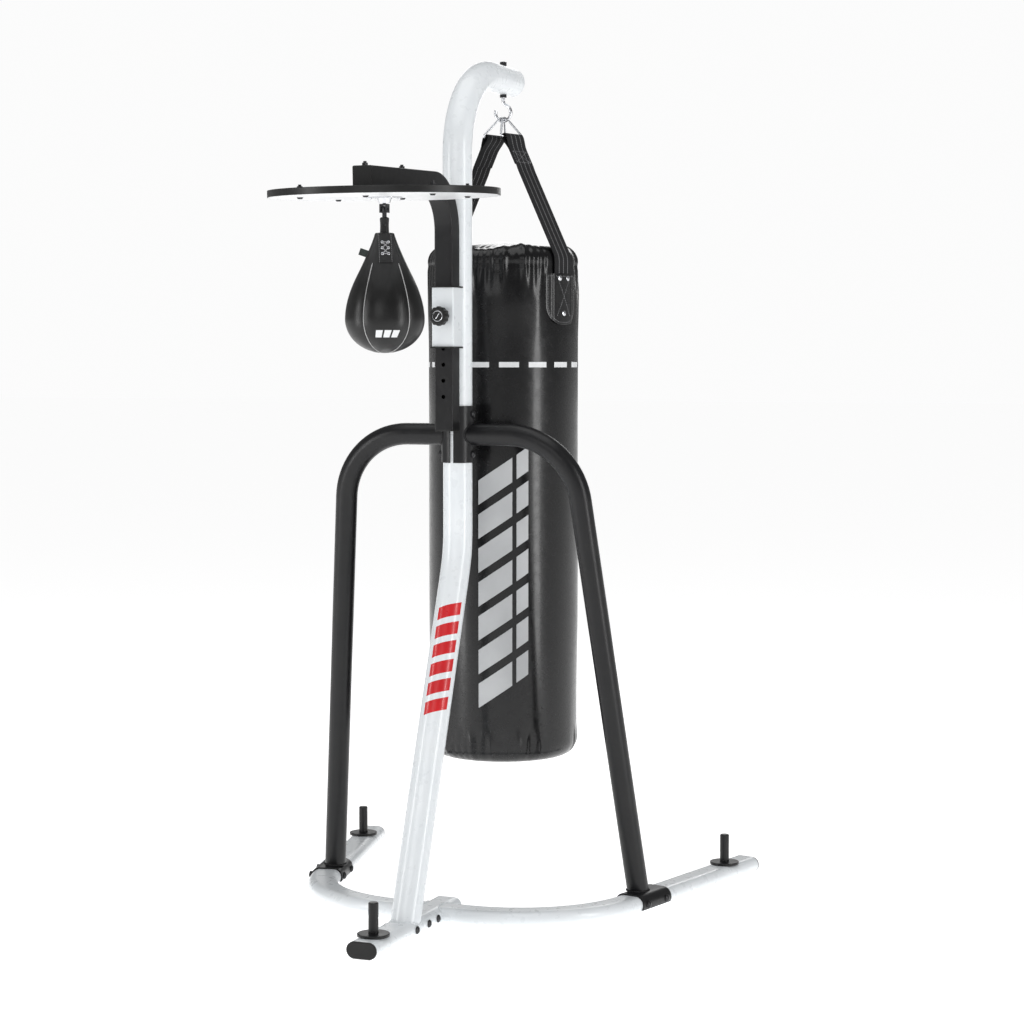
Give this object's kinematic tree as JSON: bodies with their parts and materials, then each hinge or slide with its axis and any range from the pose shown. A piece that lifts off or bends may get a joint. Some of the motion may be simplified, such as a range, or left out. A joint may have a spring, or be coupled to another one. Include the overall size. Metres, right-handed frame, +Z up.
{
  "type": "punching bag stand",
  "caption": "Free-standing tube stand with a heavy bag hung behind its mast and a speed bag under a round height-adjustable platform in front.",
  "frame": {"origin": "on the floor, on the upper mast's axis, which is within 10 mm of the middle of the bounding box", "axes": "+Z up; -Y to the front, where the speed bag's platform is; +Y to the rear, where the heavy bag hangs; +X to the right"},
  "size_m": [1.2388, 1.4414, 2.234],
  "materials": {
    "white_paint": "gloss",
    "black_paint": "satin",
    "white_plastic": "satin",
    "black_plastic": "satin",
    "black_fastener": "satin",
    "bright_zinc": "polished",
    "bare_steel": "satin",
    "platform_black": "satin",
    "platform_white": "satin",
    "edge_band": "satin",
    "speed_bag_leather": "satin",
    "bladder_rubber": "matte",
    "bag_vinyl": "gloss",
    "bag_filling": "matte",
    "webbing": "matte",
    "patch_vinyl": "gloss"
  },
  "bodies": {
    "stand": {"beam_core": "bare_steel", "base_spigots": "bare_steel", "mast_splice": "bare_steel", "pin_spring": "bare_steel", "base_beam": "white_paint", "left_base_tube": "white_paint", "right_base_tube": "white_paint", "lower_mast": "white_paint", "upper_mast": "white_paint", "collar": "white_paint", "beam_front_cap": "black_plastic", "tube_end_caps": "black_plastic", "collar_bush_top": "black_plastic", "collar_bush_bottom": "black_plastic", "beam_rear_cap": "white_plastic", "arch_end_cap": "white_plastic", "base_bolts": "black_fastener", "clamp_bolts": "black_fastener", "saddle_bolts": "black_fastener", "peg_bolts": "black_fastener", "frame_nuts": "black_fastener", "hook_nuts": "black_fastener", "pin_housing": "black_fastener", "clamp_left": "black_paint", "clamp_right": "black_paint", "left_leg": "black_paint", "right_leg": "black_paint", "left_saddle": "black_paint", "right_saddle": "black_paint", "front_weight_peg": "black_paint", "left_weight_peg": "black_paint", "right_weight_peg": "black_paint", "hook": "bright_zinc"},
    "arm": {"platform_arm": "black_paint", "arm_bottom_cap": "black_plastic", "arm_front_cap": "black_plastic", "front_cross_brace": "black_paint", "rear_cross_brace": "black_paint", "platform_board": "platform_black", "platform_facing": "platform_white", "platform_edge_band": "edge_band", "platform_bolts": "black_fastener", "platform_nuts": "black_fastener", "swivel_plate": "bright_zinc", "swivel_screws": "bright_zinc"},
    "swivel": {"swivel_fork": "black_fastener"},
    "speed_bag": {"speed_bag_link": "black_fastener", "speed_bag_loop": "speed_bag_leather", "speed_bag_shell": "speed_bag_leather", "speed_bag_bladder": "bladder_rubber"},
    "pop_pin": {"pin_plunger": "bare_steel", "pin_knob": "black_plastic"},
    "rings": {"left_ring": "bright_zinc", "right_ring": "bright_zinc"},
    "heavy_bag": {"bag_cover": "bag_vinyl", "bag_filling": "bag_filling", "left_strap": "webbing", "right_strap": "webbing", "strap_patches": "patch_vinyl", "bag_rivets": "bright_zinc"}
  },
  "joints": [
    {"name": "arm_height", "type": "slide", "parent": "stand", "child": "arm", "axis": [0, 0, 1], "range_m": [-0.041, 0.205]},
    {"name": "pin_pull", "type": "slide", "parent": "stand", "child": "pop_pin", "axis": [0, -1, 0], "range_m": [0, 0.012], "stiffness_N_per_m": 500, "springref_m": -0.01, "deforming": ["pin_spring"]},
    {"name": "ring_swing", "type": "hinge", "parent": "stand", "child": "rings", "pos_m": [0, 0.316, 2.0745], "axis": [1, 0, 0], "range_deg": [-3, 25]},
    {"name": "bag_side_swing", "type": "hinge", "parent": "rings", "child": "heavy_bag", "pos_m": [0, 0.316, 2.03], "axis": [0.2924, 0.9563, 0], "range_deg": [-6, 6]},
    {"name": "speed_swivel_spin", "type": "hinge", "parent": "arm", "child": "swivel", "pos_m": [0, -0.44679, 1.79227], "axis": [0, 0, 1], "continuous": true},
    {"name": "speed_bag_swing", "type": "hinge", "parent": "swivel", "child": "speed_bag", "pos_m": [0, -0.44679, 1.79227], "axis": [1, 0, 0], "range_deg": [-65, 65]}
  ]
}
